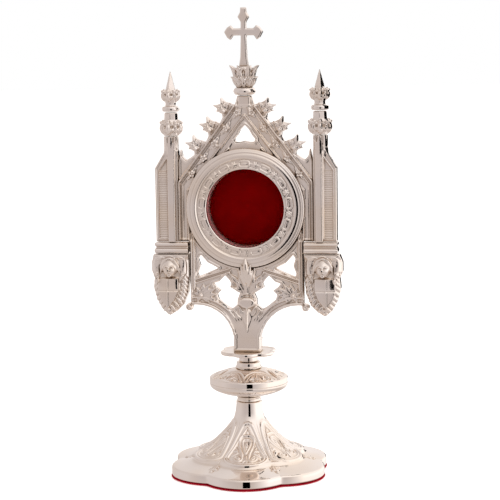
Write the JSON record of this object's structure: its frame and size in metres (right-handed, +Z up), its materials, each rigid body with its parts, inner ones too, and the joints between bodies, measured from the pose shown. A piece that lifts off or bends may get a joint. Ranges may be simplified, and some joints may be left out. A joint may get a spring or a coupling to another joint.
{
  "type": "monstrance",
  "caption": "Standing neo-Gothic monstrance: six-lobed foot, stem with round knop, pierced frame with side towers and cross, and a round glazed case with a hinged back door.",
  "frame": {"origin": "on the table under the stem's axis, the middle of the foot's underside", "axes": "+Z up along the stem, -Y the glazed front, +X to the right seen from the front"},
  "size_m": [0.1048, 0.0898, 0.2523],
  "materials": {
    "polished_silver_plate": "brass sheet, mirror-polished and silver plated",
    "cast_silver_plate": "cast brass, polished and silver plated, darker in the recesses",
    "steel": "zinc-plated hardware",
    "window_glass": "clear flat glass",
    "red_velvet": "dark red velvet on card",
    "red_felt": "red felt"
  },
  "bodies": {
    "stand": {"frame": "cast_silver_plate", "bezel_ring": "cast_silver_plate", "lens_ring": "cast_silver_plate", "right_capital": "cast_silver_plate", "left_capital": "cast_silver_plate", "right_corbel": "cast_silver_plate", "left_corbel": "cast_silver_plate", "right_buttress": "cast_silver_plate", "left_buttress": "cast_silver_plate", "right_pinnacle": "cast_silver_plate", "left_pinnacle": "cast_silver_plate", "finial_ring": "cast_silver_plate", "finial_bud": "cast_silver_plate", "cross": "cast_silver_plate", "foot": "polished_silver_plate", "lower_collar": "polished_silver_plate", "knop_lower": "polished_silver_plate", "knop_upper": "polished_silver_plate", "upper_collar": "polished_silver_plate", "neck_sleeve": "polished_silver_plate", "top_plate": "polished_silver_plate", "case_body": "polished_silver_plate", "base_plate": "steel", "tie_rod": "steel", "rod_washer": "steel", "rod_nut": "steel", "case_screw_1": "steel", "case_screw_2": "steel", "case_screw_3": "steel", "case_screw_4": "steel", "hinge_pin": "steel", "base_felt": "red_felt", "glass_lens": "window_glass", "side_lining": "red_velvet"},
    "door": {"rear_door": "polished_silver_plate", "back_pad": "red_velvet"}
  },
  "joints": [
    {"name": "rear_door_hinge", "type": "hinge", "parent": "stand", "child": "door", "pos_m": [0.028, 0.0082, 0.1452], "axis": [0, 0, -1], "range_deg": [0, 120]}
  ]
}
